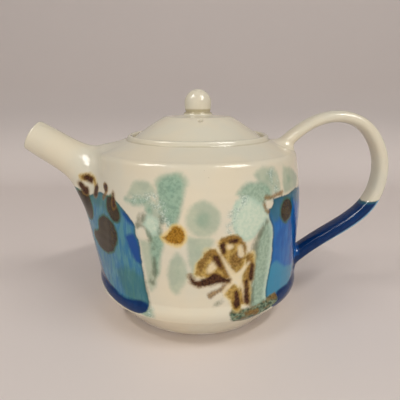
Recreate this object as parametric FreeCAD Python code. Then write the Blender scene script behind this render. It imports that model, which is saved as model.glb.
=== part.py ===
import FreeCAD, Part
import math
import os

V = FreeCAD.Vector
UP = V(0, 0, 1)
SIDEWAYS = V(0, 1, 0)
CENTRE = V(0, 0, 0)

# Sizes are in millimetres and angles in degrees. The origin is the foot's centre on the table,
# the spout points to -X and the handle to +X.

# Overall sizes
body_radius = 66.2
shoulder_height = 107.0
wall = 4.0

# Foot and floor
foot_radius = 47.0
foot_width = 6.0
foot_height = 3.0
floor_thickness = 4.0
floor_share = 0.60

# Rolled ridge at the bottom of the wall
ridge_height = 23.4
ridge_half_height = 4.6
ridge_proud = 0.1
ridge_step = 1.5
crease_inset = 1.3

# Barrel wall: share of the shoulder height, share of the body radius
wall_shape = [(0.421, 0.988), (0.579, 1.0), (0.710, 1.0), (0.860, 0.979)]
shoulder_share = 0.952
corner_height = 3.0
corner_width = 3.4
corner_rise = 0.9

# Lip and lid seat
lip_inner_radius = 41.9
lip_thickness = 3.1
lip_height = 4.0
lip_foot = 0.4
seat_rise = 5.9
seat_width = 7.4
seat_thickness = 3.7

# Lid
rim_gap = 0.9
rim_height = 2.7
rim_rounding = 1.2
lid_rise = 12.6
lid_thickness = 3.8
plateau_radius = 20.5
plateau_rounding = 3.0
crown = 0.8
vent_radius = 1.4
vent_offset = V(1.5, -23.0, 0)

# Ring under the lid
flange_gap = 0.9
flange_wall = 3.2
flange_depth = 10.0

# Knob
collar_radius = 9.0
collar_height = 1.4
neck_radius = 7.7
neck_height = 0.8
ball_radius = 8.45
ball_rise = 7.2

# Spout
spout_reach = 40.7
spout_lift = 9.3
spout_angle = 31.6
spout_run = 86.0
mouth_radius = 10.2
mouth_wall = 3.0
mouth_rounding = 1.2
base_radius = 56.8
root_height = 22.86
base_share = 0.75
bore_lead = 3.0
# share of the run, share of the flare from mouth to base, width over height
spout_shape = [
    (0.0, 0.0, 1.0),
    (0.16, 0.015, 1.0),
    (0.31, 0.030, 1.0),
    (0.42, 0.081, 1.0),
    (0.51, 0.182, 0.97),
    (0.63, 0.348, 0.90),
    (0.77, 0.620, 0.80),
    (0.93, 0.888, 0.70),
    (1.0, 1.0, 0.66),
]

# Strainer
strainer_share = 0.75
strainer_radius = 17.0
hole_radius = 1.9
hole_spacing = 5.6
hole_rings = 2

# Handle
handle_reach = 53.6
handle_rise = 21.0
squareness = 2.5
section_points = 16
# share of the reach beyond the wall, share of the rise from ridge to top, thickness, width
handle_shape = [
    (-0.36, 0.7491, 8.5, 17.0),
    (-0.19, 0.8348, 8.0, 16.5),
    (-0.026, 0.9082, 7.2, 16.0),
    (0.175, 0.9706, 7.2, 15.6),
    (0.425, 0.9988, 7.4, 15.4),
    (0.713, 0.9584, 7.8, 15.2),
    (0.905, 0.8519, 8.3, 15.0),
    (0.996, 0.7149, 8.6, 14.8),
    (0.990, 0.5790, 8.8, 14.8),
    (0.894, 0.4518, 9.0, 14.8),
    (0.659, 0.3319, 9.0, 14.8),
    (0.369, 0.2327, 9.0, 14.8),
    (0.120, 0.1410, 9.0, 15.0),
    (-0.065, 0.0639, 9.4, 15.6),
    (-0.22, 0.0002, 9.8, 16.0),
]

# Levels and radii that follow from the sizes above
seat_height = shoulder_height + seat_rise
lip_top = seat_height + lip_height
throat_radius = lip_inner_radius - seat_width
ceiling = seat_height - seat_thickness
ridge_top = ridge_height + ridge_half_height
shoulder_radius = body_radius * shoulder_share
handle_top = shoulder_height + handle_rise
lid_radius = lip_inner_radius - rim_gap
lid_top = seat_height + rim_height + lid_rise
flange_radius = throat_radius - flange_gap
flange_inner_radius = flange_radius - flange_wall


def at(radius, height):
    """Point of a turned outline."""
    return V(radius, 0, height)


def line(start, end):
    """Straight stretch of an outline."""
    return Part.makeLine(start, end)


def bend(start, pull, end):
    """Soft curve from start to end that leans towards pull."""
    curve = Part.BezierCurve()
    curve.setPoles([start, pull, end])
    return curve.toShape()


def sweep_through(points):
    """Smooth curve through all the points."""
    curve = Part.BSplineCurve()
    curve.interpolate(points)
    return curve.toShape()


def turned(edges):
    """Solid turned about the pot's axis from a closed outline."""
    outline = Part.Wire(Part.__sortEdges__(edges))
    return Part.Face(outline).revolve(CENTRE, UP, 360)


def upright_cylinder(radius, bottom, top):
    """Cylinder on the pot's axis between two levels."""
    return Part.makeCylinder(radius, top - bottom, at(0, bottom), UP)


def barrel(inset, bottom, top):
    """Barrel wall curve, moved in by inset, from its lowest to its highest point."""
    middle = [at(body_radius * r - inset, shoulder_height * h) for h, r in wall_shape]
    return sweep_through([bottom] + middle + [top])


def outer_form():
    """The pot's outside, filled solid, from the table to the top of the lip."""
    foot = at(foot_radius, 0)
    crease = at(body_radius - crease_inset, ridge_height - ridge_half_height)
    ridge = at(body_radius + ridge_proud, ridge_height)
    wall_foot = at(body_radius - ridge_step, ridge_top)
    wall_head = at(shoulder_radius, shoulder_height - corner_height)
    corner = at(shoulder_radius - corner_width, shoulder_height + corner_rise)
    bead = lip_thickness / 2
    lip_outer = at(lip_inner_radius + lip_thickness, lip_top - bead)
    lip_inner = at(lip_inner_radius, lip_top - bead)
    lip_crest = at(lip_inner_radius + bead, lip_top)
    lip_base = at(lip_outer.x + lip_foot, lip_outer.z - lip_thickness * lip_foot)
    under_pull = at((foot.x + crease.x) / 2, (foot.z + crease.z) / 2 + ridge_proud)
    slope_pull = at((corner.x + lip_base.x) / 2, (corner.z + lip_base.z) / 2 - lip_foot)
    return turned([
        line(CENTRE, foot),
        bend(foot, under_pull, crease),
        bend(crease, at(ridge.x, (crease.z + ridge.z) / 2), ridge),
        bend(ridge, at(ridge.x, (ridge_height + ridge_top) / 2), wall_foot),
        barrel(0, wall_foot, wall_head),
        bend(wall_head, at(shoulder_radius - lip_foot, shoulder_height + lip_foot), corner),
        bend(corner, slope_pull, lip_base),
        line(lip_base, lip_outer),
        Part.Arc(lip_outer, lip_crest, lip_inner).toShape(),
        line(lip_inner, at(0, lip_inner.z)),
        line(at(0, lip_inner.z), CENTRE),
    ])


def cavity():
    """The room for tea, from the floor to the underside of the lid seat."""
    floor = foot_height + floor_thickness
    floor_edge = at(body_radius * floor_share, floor)
    low = at(body_radius - ridge_step - wall, ridge_top)
    high = at(shoulder_radius - wall, shoulder_height - corner_height - wall / 2)
    eave = at(high.x - wall, shoulder_height - wall / 4)
    throat = at(throat_radius + seat_thickness, ceiling)
    return turned([
        line(at(0, floor), floor_edge),
        bend(floor_edge, at(low.x - 2 * ridge_half_height * floor_share, floor), low),
        barrel(wall, low, high),
        bend(high, at(high.x, eave.z), eave),
        line(eave, throat),
        line(throat, at(0, ceiling)),
        line(at(0, ceiling), at(0, floor)),
    ])


def strainer_plug(radius, across, up):
    """Cylinder through the spout-side wall, offset across and up from the strainer's centre."""
    start = V(-body_radius - wall, across, shoulder_height * strainer_share + up)
    return Part.makeCylinder(radius, body_radius - strainer_radius, start, V(1, 0, 0))


def strainer_holes():
    """One middle hole and rings of six, twelve and so on around it."""
    holes = [strainer_plug(hole_radius, 0, 0)]
    for ring in range(1, hole_rings + 1):
        for step in range(6 * ring):
            angle = math.radians(60 * step / ring)
            across = hole_spacing * ring * math.cos(angle)
            up = hole_spacing * ring * math.sin(angle)
            holes.append(strainer_plug(hole_radius, across, up))
    return holes


def band(shape, bottom, top):
    """The part of a turned shape between two levels."""
    return shape.common(upright_cylinder(body_radius + wall, bottom, top))


def pot_nodes(form):
    """The thrown body's bands, the foot ring and the strainer, from the filled outside."""
    floor_level = foot_height + floor_thickness
    shoulder_level = shoulder_height - corner_height
    seat = upright_cylinder(lip_inner_radius, seat_height, lip_top)
    throat = upright_cylinder(throat_radius, ceiling - wall, lip_top)
    recess = upright_cylinder(foot_radius - foot_width, 0, foot_height)
    shell = form.cut(cavity()).cut(seat).cut(throat)
    barrel_band = band(shell, ridge_top, shoulder_level)
    plug = strainer_plug(strainer_radius, 0, 0)
    strainer = barrel_band.common(plug)
    for hole in strainer_holes():
        strainer = strainer.cut(hole)
    return {
        "foot_ring": band(form, 0, foot_height).cut(recess),
        "pot_floor": band(shell, foot_height, floor_level),
        "pot_base": band(shell, floor_level, ridge_top),
        "pot_wall": barrel_band.cut(plug),
        "pot_shoulder": band(shell, shoulder_level, lip_top),
        "strainer": strainer,
    }


def spout_tube(thickness, lead):
    """Flared tube, made thinner all round by thickness and started lead before the mouth."""
    angle = math.radians(spout_angle)
    inward = V(math.cos(angle), 0, -math.sin(angle))
    rise = V(math.sin(angle), 0, math.cos(angle))
    mouth = V(-body_radius - spout_reach, 0, shoulder_height + spout_lift)
    facing = FreeCAD.Rotation(rise, SIDEWAYS, inward * -1, "XYZ")
    drop = (mouth.z - spout_run * math.sin(angle) - root_height) / math.cos(angle)
    base_height = (base_radius + drop) / 2
    sag = (drop - base_radius) / 2
    stations = [(run * spout_run, flare, oval) for run, flare, oval in spout_shape]
    if lead > 0:
        stations.insert(0, (-lead, 0.0, 1.0))
    sections = []
    for distance, flare, oval in stations:
        middle = mouth + inward * distance - rise * sag * flare
        height = mouth_radius + (base_height - mouth_radius) * flare - thickness
        width = height * oval
        section = Part.Wire(Part.Ellipse(CENTRE, height, width).toShape())
        section.Placement = FreeCAD.Placement(middle, facing)
        sections.append(section)
    return Part.makeLoft(sections, True, False), mouth, inward


def spout_node(form):
    """Hollow spout, trimmed to the pot's outside, with a rounded mouth."""
    tube, mouth, inward = spout_tube(0, 0)
    bore, _, _ = spout_tube(mouth_wall, bore_lead)
    span = body_radius * 2
    inside = Part.makeBox(span, span * 2, span * 2, V(-body_radius * base_share, -span, 0))
    spout = tube.cut(bore).cut(form).cut(inside)
    rims = [e for e in spout.Edges if abs((e.CenterOfMass - mouth).dot(inward)) < mouth_rounding / 100]
    return spout.makeFillet(mouth_rounding, rims)


def strap_section(middle, outward, thickness, width):
    """Closed soft-cornered section of the handle."""
    points = []
    for step in range(section_points):
        angle = 2 * math.pi * step / section_points
        c = math.cos(angle)
        s = math.sin(angle)
        flat = math.copysign(abs(c) ** (2 / squareness), c) * thickness / 2
        side = math.copysign(abs(s) ** (2 / squareness), s) * width / 2
        points.append(middle + outward * flat + SIDEWAYS * side)
    curve = Part.BSplineCurve()
    curve.interpolate(Points=points, PeriodicFlag=True)
    return Part.Wire(curve.toShape())


def handle_node(form):
    """Pulled strap handle, trimmed to the pot's outside."""
    rise = handle_top - ridge_height
    path = [
        V(body_radius + handle_reach * x, 0, ridge_height + rise * z) for x, z, _, _ in handle_shape
    ]
    sections = []
    for index, (_, _, thickness, width) in enumerate(handle_shape):
        ahead = path[min(index + 1, len(path) - 1)]
        behind = path[max(index - 1, 0)]
        along = (ahead - behind).normalize()
        outward = SIDEWAYS.cross(along) * -1
        sections.append(strap_section(path[index], outward, thickness, width))
    return Part.makeLoft(sections, True, False).cut(form)


def lid_node():
    """Coned lid with a flat seat, a hollow underside and a steam hole."""
    rim_top = seat_height + rim_height
    foot = at(lid_radius - rim_rounding / 2, seat_height)
    side_low = at(lid_radius, seat_height + rim_rounding / 2)
    side_high = at(lid_radius, rim_top - rim_rounding)
    rim = at(lid_radius - rim_rounding, rim_top)
    edge = at(plateau_radius + plateau_rounding / 2, lid_top - plateau_rounding / 4)
    plateau = at(plateau_radius - plateau_rounding, lid_top)
    centre = at(collar_radius, lid_top + crown)
    hollow_edge = at(flange_inner_radius, seat_height + rim_height)
    hollow_top = at(plateau_radius - plateau_rounding, lid_top - lid_thickness)
    slope_pull = at((rim.x + edge.x) / 2, (rim.z + edge.z) / 2 + crown)
    lid = turned([
        line(at(flange_inner_radius, seat_height), foot),
        bend(foot, at(lid_radius, seat_height), side_low),
        line(side_low, side_high),
        bend(side_high, at(lid_radius, rim_top - rim_rounding / 4), rim),
        bend(rim, slope_pull, edge),
        bend(edge, at(plateau_radius, lid_top), plateau),
        line(plateau, centre),
        line(centre, at(0, centre.z)),
        line(at(0, centre.z), at(0, hollow_top.z)),
        line(at(0, hollow_top.z), hollow_top),
        bend(hollow_top, at(plateau_radius + plateau_rounding, hollow_top.z), hollow_edge),
        line(hollow_edge, at(flange_inner_radius, seat_height)),
    ])
    steam_hole = Part.makeCylinder(vent_radius, lid_top, vent_offset + UP * seat_height, UP)
    return lid.cut(steam_hole)


def flange_node():
    """Ring that hangs from the lid into the throat."""
    low = seat_height - flange_depth
    bead = flange_wall / 2
    outer = at(flange_radius, low + bead)
    inner = at(flange_inner_radius, low + bead)
    return turned([
        line(at(flange_inner_radius, seat_height), at(flange_radius, seat_height)),
        line(at(flange_radius, seat_height), outer),
        Part.Arc(outer, at(flange_radius - bead, low), inner).toShape(),
        line(inner, at(flange_inner_radius, seat_height)),
    ])


def knob_node():
    """Ball on a short collar."""
    bottom = lid_top + crown
    collar_top = bottom + collar_height
    equator = bottom + ball_rise
    ball_foot = at(neck_radius, collar_top + neck_height)
    diagonal = ball_radius * math.sqrt(0.5)
    return turned([
        line(at(0, bottom), at(collar_radius, bottom)),
        line(at(collar_radius, bottom), at(collar_radius, collar_top - neck_height)),
        bend(
            at(collar_radius, collar_top - neck_height),
            at(collar_radius, collar_top),
            at(neck_radius, collar_top),
        ),
        line(at(neck_radius, collar_top), ball_foot),
        bend(ball_foot, at(ball_radius, (ball_foot.z + equator) / 2), at(ball_radius, equator)),
        Part.Arc(
            at(ball_radius, equator),
            at(diagonal, equator + diagonal),
            at(0, equator + ball_radius),
        ).toShape(),
        line(at(0, equator + ball_radius), at(0, bottom)),
    ])


form = outer_form()
nodes = {
    **pot_nodes(form),
    "spout": spout_node(form),
    "handle": handle_node(form),
    "lid": lid_node(),
    "lid_flange": flange_node(),
    "lid_knob": knob_node(),
}
os.makedirs("parts", exist_ok=True)
for name, shape in nodes.items():
    shape.exportStep("parts/" + name + ".step")
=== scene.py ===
"""Looks of a thrown porcelain teapot with splashed glazes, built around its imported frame.

The pot's skin is carved from distance fields, so that the spout and the handle grow out of the
wall with soft joins. Lengths inside the classes are in millimetres and angles in degrees. The
spout points to -X, the handle to +X and the decorated front to -Y.
"""
import logging
import math
from dataclasses import dataclass, field
from enum import Enum
from typing import Callable, Dict, List, Sequence, Tuple, Union

import bpy
import numpy as np
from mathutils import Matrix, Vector


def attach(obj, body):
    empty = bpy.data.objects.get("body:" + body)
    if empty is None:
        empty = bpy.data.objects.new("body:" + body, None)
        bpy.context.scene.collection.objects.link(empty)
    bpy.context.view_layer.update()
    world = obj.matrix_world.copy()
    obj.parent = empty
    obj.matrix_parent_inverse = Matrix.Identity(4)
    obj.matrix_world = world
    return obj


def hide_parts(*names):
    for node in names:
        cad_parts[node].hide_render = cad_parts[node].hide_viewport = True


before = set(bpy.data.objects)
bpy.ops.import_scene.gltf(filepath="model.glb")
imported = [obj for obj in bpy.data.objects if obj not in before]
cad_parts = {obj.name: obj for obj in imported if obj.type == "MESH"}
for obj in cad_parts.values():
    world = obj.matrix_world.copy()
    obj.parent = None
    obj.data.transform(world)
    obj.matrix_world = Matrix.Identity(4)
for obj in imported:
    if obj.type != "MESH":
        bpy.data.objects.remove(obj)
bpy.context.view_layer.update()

LOG = logging.getLogger("teapot")
MM = 0.001
NOWHERE = -60.0
OUTER_SKIN = -1.0

Distance = Callable[[np.ndarray, np.ndarray, np.ndarray], np.ndarray]
Pair = Tuple[float, float]
Socket = bpy.types.NodeSocket
Feed = Union[Socket, float, Tuple[float, ...]]


class Layer(str, Enum):
    """Layers of the glaze, each kept on the mesh as millimetres inside its marks."""

    BLUE = "blue"
    DEEP = "deep"
    TIDE = "tide"
    SEA = "sea"
    NAVY = "navy"
    SAGE = "sage"
    JADE = "jade"
    MINT = "mint"
    SMOKE = "smoke"
    CRYSTAL = "crystal"
    BROWN = "brown"
    AMBER = "amber"
    PETAL = "petal"
    PALE = "pale"
    RUST = "rust"
    CHAR = "char"
    MOSS = "moss"
    EDGE = "edge"
    # Pooled glaze that also serves as painted shade in the knob's groove and under the lip.
    POOL_AND_SHADE = "pooled"
    BARE = "bare"
    GAP = "gap"


# ---------------------------------------------------------------- curves and distances


def cubic(knots: np.ndarray, values: np.ndarray, at: np.ndarray) -> np.ndarray:
    """Natural cubic curve through values at knots.

    Args:
        knots: Rising positions, one per value.
        values: One row per knot.
        at: Positions to read.

    Returns:
        One row per position.
    """
    count = len(knots)
    gaps = np.diff(knots)
    system = np.eye(count)
    target = np.zeros((count, values.shape[1]))
    slopes = np.diff(values, axis=0) / gaps[:, None]
    for i in range(1, count - 1):
        system[i, i - 1 : i + 2] = gaps[i - 1], 2 * (gaps[i - 1] + gaps[i]), gaps[i]
        target[i] = 6 * (slopes[i] - slopes[i - 1])
    bends = np.linalg.solve(system, target)
    i = np.clip(np.searchsorted(knots, at, side="right") - 1, 0, count - 2)
    gap = gaps[i][:, None]
    left = (at - knots[i])[:, None]
    right = gap - left
    curved = bends[i] * right**3 + bends[i + 1] * left**3
    straight = (values[i] / gap - bends[i] * gap / 6) * right
    return curved / (6 * gap) + straight + (values[i + 1] / gap - bends[i + 1] * gap / 6) * left


def through(points: Sequence[Sequence[float]], samples: int = 80) -> np.ndarray:
    """Smooth curve through points, spaced by the distance between their first two values."""
    values = np.array(points, float)
    steps = np.linalg.norm(np.diff(values[:, :2], axis=0), axis=1)
    knots = np.concatenate([[0.0], np.cumsum(steps)])
    return cubic(knots, values, np.linspace(0, knots[-1], samples))


def bend(start: Pair, pull: Pair, end: Pair, samples: int = 14) -> np.ndarray:
    """Soft curve from start to end that leans towards pull."""
    t = np.linspace(0, 1, samples)[:, None]
    a, b, c = (np.array(point, float) for point in (start, pull, end))
    return a * (1 - t) ** 2 + 2 * b * t * (1 - t) + c * t**2


def half_round(outer: Pair, inner: Pair, up: float, samples: int = 18) -> np.ndarray:
    """Half circle from outer to inner, bulging upwards for up 1 and downwards for up -1."""
    angle = np.linspace(0, math.pi, samples)
    middle = (outer[0] + inner[0]) / 2
    radius = (outer[0] - inner[0]) / 2
    return np.stack([middle + radius * np.cos(angle), outer[1] + up * radius * np.sin(angle)], 1)


def outline_distance(
    a: np.ndarray, b: np.ndarray, outline: np.ndarray, skip_axis: bool = False
) -> np.ndarray:
    """Distance to a closed outline in the plane.

    Args:
        a: First coordinates of the points.
        b: Second coordinates of the points.
        outline: Corners of the outline, in order.
        skip_axis: Leave out stretches that lie on the line a = 0.

    Returns:
        Distances, negative inside.
    """
    best = np.full(a.shape, np.inf)
    inside = np.zeros(a.shape, bool)
    for (a0, b0), (a1, b1) in zip(outline, np.roll(outline, -1, axis=0)):
        da, db = a1 - a0, b1 - b0
        length = da * da + db * db
        if length < 1e-12:
            continue
        if not (skip_axis and max(a0, a1) < 1e-6):
            t = np.clip(((a - a0) * da + (b - b0) * db) / length, 0, 1)
            np.minimum(best, (a - a0 - t * da) ** 2 + (b - b0 - t * db) ** 2, out=best)
        if db != 0:
            inside ^= ((b0 > b) != (b1 > b)) & (a < a0 + (b - b0) * da / db)
    return np.where(inside, -1, 1) * np.sqrt(best)


@dataclass
class Chart:
    """Values over a plane, read between its grid points."""

    low: np.ndarray
    step: float
    table: np.ndarray

    @staticmethod
    def lines(low: Pair, high: Pair, step: float) -> Tuple[np.ndarray, np.ndarray]:
        """Grid of the plane between low and high."""
        first = np.arange(low[0], high[0] + step, step)
        second = np.arange(low[1], high[1] + step, step)
        return tuple(np.meshgrid(first, second, indexing="ij"))

    def read(self, a: np.ndarray, b: np.ndarray) -> np.ndarray:
        """Value at each point, held at the border beyond the chart."""
        fa = np.clip((a - self.low[0]) / self.step, 0, self.table.shape[0] - 1.001)
        fb = np.clip((b - self.low[1]) / self.step, 0, self.table.shape[1] - 1.001)
        i, j = fa.astype(int), fb.astype(int)
        u, v = fa - i, fb - j
        near = self.table[i, j] * (1 - u) + self.table[i + 1, j] * u
        far = self.table[i, j + 1] * (1 - u) + self.table[i + 1, j + 1] * u
        return near * (1 - v) + far * v

    def overshoot(self, a: np.ndarray, b: np.ndarray) -> np.ndarray:
        """How far each point lies beyond the chart."""
        high = self.low + self.step * (np.array(self.table.shape) - 1)
        outside_a = a - np.clip(a, self.low[0], high[0])
        outside_b = b - np.clip(b, self.low[1], high[1])
        return np.hypot(outside_a, outside_b)


def turned(parts: Sequence[np.ndarray], step: float = 0.4, margin: float = 6.0) -> Distance:
    """Distance to a solid turned about the pot's axis.

    Args:
        parts: Stretches of the closed outline, in order, as radius and height.
        step: Spacing of the chart.
        margin: Room charted around the outline.

    Returns:
        The distance function.
    """
    outline = np.concatenate([np.atleast_2d(np.array(part, float)) for part in parts])
    low = np.array([0.0, outline[:, 1].min() - margin])
    high = outline.max(0) + margin
    radius, height = Chart.lines(tuple(low), tuple(high), step)
    chart = Chart(low, step, outline_distance(radius, height, outline, skip_axis=True))

    def distance(x: np.ndarray, y: np.ndarray, z: np.ndarray) -> np.ndarray:
        """Distance to the turned solid."""
        r = np.hypot(x, y)
        return chart.read(r, z) + chart.overshoot(r, z)

    return distance


def soft_union(a: np.ndarray, b: np.ndarray, radius: float) -> np.ndarray:
    """Joins two solids with a fillet of that radius."""
    reach = np.hypot(np.maximum(radius - a, 0), np.maximum(radius - b, 0))
    return np.maximum(radius, np.minimum(a, b)) - reach


def soft_cut(a: np.ndarray, b: np.ndarray, radius: float) -> np.ndarray:
    """What two solids share, with its edge rounded to that radius."""
    reach = np.hypot(np.maximum(radius + a, 0), np.maximum(radius + b, 0))
    return np.minimum(-radius, np.maximum(a, b)) + reach


def slope(distance: Distance, points: np.ndarray, reach: float) -> np.ndarray:
    """Direction in which the distance grows, by differences over reach either way."""
    columns = []
    for axis in range(3):
        shift = np.zeros(3)
        shift[axis] = reach
        change = distance(*(points + shift).T) - distance(*(points - shift).T)
        columns.append(change / (2 * reach))
    return np.stack(columns, 1)


# ---------------------------------------------------------------- skins


@dataclass
class Skin:
    """Four-sided mesh of a solid's surface."""

    points: np.ndarray
    faces: np.ndarray
    normals: np.ndarray

    def part(self, chosen: np.ndarray) -> Tuple["Skin", np.ndarray]:
        """The chosen faces as a skin of their own, and which points it kept."""
        kept, index = np.unique(self.faces[chosen], return_inverse=True)
        faces = index.reshape(-1, 4)
        return Skin(self.points[kept], faces, self.normals[kept]), kept

    def piece(self, name: str, layers: Dict[Layer, np.ndarray]) -> bpy.types.Object:
        """Blender object of this skin.

        Args:
            name: Name of the piece.
            layers: Millimetres inside each glaze layer, one value per point.

        Returns:
            The new object, in metres.
        """
        mesh = bpy.data.meshes.new(name)
        mesh.vertices.add(len(self.points))
        mesh.vertices.foreach_set("co", (self.points * MM).astype(np.float32).ravel())
        mesh.loops.add(self.faces.size)
        mesh.loops.foreach_set("vertex_index", self.faces.astype(np.int32).ravel())
        mesh.polygons.add(len(self.faces))
        starts = np.arange(0, self.faces.size, 4, dtype=np.int32)
        mesh.polygons.foreach_set("loop_start", starts)
        mesh.update(calc_edges=True)
        mesh.polygons.foreach_set("use_smooth", np.ones(len(self.faces), bool))
        for layer, values in layers.items():
            attribute = mesh.attributes.new(layer.value, "FLOAT", "POINT")
            attribute.data.foreach_set("value", values.astype(np.float32))
        mesh.normals_split_custom_set_from_vertices(self.normals.tolist())
        made = bpy.data.objects.new(name, mesh)
        bpy.context.scene.collection.objects.link(made)
        return made


def sculpt(distance: Distance, low: np.ndarray, high: np.ndarray, cell: float) -> Skin:
    """Skin of the solid where the distance is negative.

    Args:
        distance: Distance function of the solid.
        low: Lowest corner of the room to search.
        high: Highest corner.
        cell: Spacing of the search grid.

    Returns:
        The skin, settled on the surface, with normals from the distance itself.
    """
    lines = [np.arange(low[i], high[i] + cell, cell) for i in range(3)]
    across, up = np.meshgrid(lines[1], lines[2], indexing="ij")
    values = np.stack([distance(np.full_like(across, x), across, up) for x in lines[0]])
    inside = values < 0
    cells = tuple(length - 1 for length in inside.shape)
    total = np.zeros(cells, np.int8)
    corners = [(i, j, k) for i in (0, 1) for j in (0, 1) for k in (0, 1)]
    for i, j, k in corners:
        total += inside[i : i + cells[0], j : j + cells[1], k : k + cells[2]]
    mixed = np.argwhere((total > 0) & (total < 8))
    held = np.stack([values[tuple((mixed + corner).T)] for corner in corners], 1)
    places = np.zeros((len(mixed), 3))
    hits = np.zeros(len(mixed))
    for first, start in enumerate(corners):
        for second, end in enumerate(corners):
            if sum(abs(a - b) for a, b in zip(start, end)) != 1 or first > second:
                continue
            crossed = (held[:, first] < 0) != (held[:, second] < 0)
            gap = held[:, first] - held[:, second]
            share = np.where(crossed, held[:, first] / np.where(crossed, gap, 1), 0)[:, None]
            spot = np.array(start) + share * (np.array(end) - np.array(start))
            places += np.where(crossed[:, None], spot, 0)
            hits += crossed
    origin = np.array([line[0] for line in lines])
    points = origin + cell * (mixed + places / hits[:, None])
    number = np.full(cells, -1, np.int64)
    number[tuple(mixed.T)] = np.arange(len(mixed))
    faces = []
    for axis in range(3):
        e, f = (axis + 1) % 3, (axis + 2) % 3
        lower = inside[tuple(slice(None, -1) if q == axis else slice(1, -1) for q in range(3))]
        upper = inside[tuple(slice(1, None) if q == axis else slice(1, -1) for q in range(3))]
        for out in (True, False):
            found = np.argwhere((lower if out else upper) & ~(upper if out else lower))
            found[:, [e, f]] += 1
            ring = []
            for back_e, back_f in ((1, 1), (0, 1), (0, 0), (1, 0)):
                spot = found.copy()
                spot[:, e] -= back_e
                spot[:, f] -= back_f
                ring.append(number[tuple(spot.T)])
            faces.append(np.stack(ring if out else ring[::-1], 1))
    for _ in range(4):
        way = slope(distance, points, cell / 4)
        size = np.maximum((way**2).sum(1), 0.05)
        move = -(distance(*points.T) / size)[:, None] * way
        length = np.maximum(np.linalg.norm(move, axis=1), 1e-9)
        points = points + move * np.minimum(cell / 3 / length, 1)[:, None]
    normals = slope(distance, points, 0.45)
    normals /= np.maximum(np.linalg.norm(normals, axis=1), 1e-9)[:, None]
    return Skin(points, np.concatenate(faces), normals)


# ---------------------------------------------------------------- glaze marks


@dataclass(frozen=True)
class Dab:
    """Oval mark, as a place around and up the wall, half sizes and a tilt."""

    layer: Layer
    around: float
    up: float
    half_width: float
    half_height: float
    tilt: float = 0.0

    def middle(self) -> float:
        """Place around the wall of the mark's middle."""
        return self.around

    def depth(self, around: np.ndarray, up: np.ndarray) -> np.ndarray:
        """Millimetres inside the mark."""
        turn = math.radians(self.tilt)
        a, b = around - self.around, up - self.up
        p = a * math.cos(turn) + b * math.sin(turn)
        q = b * math.cos(turn) - a * math.sin(turn)
        share = np.hypot(p / self.half_width, q / self.half_height)
        return (1 - share) * min(self.half_width, self.half_height)

    def behind(self) -> "Dab":
        """The mark's fellow on the far side of the pot."""
        place = far_side(self.around)
        return Dab(self.layer, place, self.up, self.half_width, self.half_height, -self.tilt)


@dataclass(frozen=True)
class Pool:
    """Mark with a soft closed outline."""

    layer: Layer
    outline: Tuple[Pair, ...]

    def middle(self) -> float:
        """Place around the wall of the mark's middle."""
        places = [point[0] for point in self.outline]
        return (min(places) + max(places)) / 2

    def depth(self, around: np.ndarray, up: np.ndarray) -> np.ndarray:
        """Millimetres inside the mark."""
        looped = self.outline + self.outline[:1]
        outline = through(looped, 6 * len(looped))[:-1]
        result = np.full(around.shape, NOWHERE)
        low, high = outline.min(0) - 8, outline.max(0) + 8
        near = (around > low[0]) & (around < high[0]) & (up > low[1]) & (up < high[1])
        result[near] = -outline_distance(around[near], up[near], outline)
        return result

    def behind(self) -> "Pool":
        """The mark's fellow on the far side of the pot."""
        return Pool(self.layer, tuple((far_side(a), b) for a, b in self.outline))


@dataclass(frozen=True)
class Stroke:
    """Brush stroke through points, with a half width at its start and its end."""

    layer: Layer
    line: Tuple[Pair, ...]
    start: float
    end: float

    def middle(self) -> float:
        """Place around the wall of the mark's middle."""
        return self.line[0][0]

    def depth(self, around: np.ndarray, up: np.ndarray) -> np.ndarray:
        """Millimetres inside the mark."""
        curve = through(self.line, 10) if len(self.line) > 2 else np.array(self.line, float)
        widths = np.linspace(self.start, self.end, len(curve))
        result = np.full(around.shape, NOWHERE)
        low, high = curve.min(0) - 8, curve.max(0) + 8
        near = (around > low[0]) & (around < high[0]) & (up > low[1]) & (up < high[1])
        a, b = around[near], up[near]
        best = np.full(a.shape, NOWHERE)
        for (a0, b0), (a1, b1), w0, w1 in zip(curve, curve[1:], widths, widths[1:]):
            da, db = a1 - a0, b1 - b0
            t = np.clip(((a - a0) * da + (b - b0) * db) / (da * da + db * db), 0, 1)
            gap = np.hypot(a - a0 - t * da, b - b0 - t * db)
            best = np.maximum(best, w0 + (w1 - w0) * t - gap)
        result[near] = best
        return result

    def behind(self) -> "Stroke":
        """The mark's fellow on the far side of the pot."""
        line = tuple((far_side(a), b) for a, b in self.line)
        return Stroke(self.layer, line, self.start, self.end)


Mark = Union[Dab, Pool, Stroke]
GIRTH_RADIUS = 66.0
GIRTH = 2 * math.pi * GIRTH_RADIUS


def far_side(around: float) -> float:
    """Place on the far side of the pot that faces a place on the front, moved along a little."""
    drift = 5 * math.sin(around / 11)
    return GIRTH / 2 - around + drift


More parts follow.
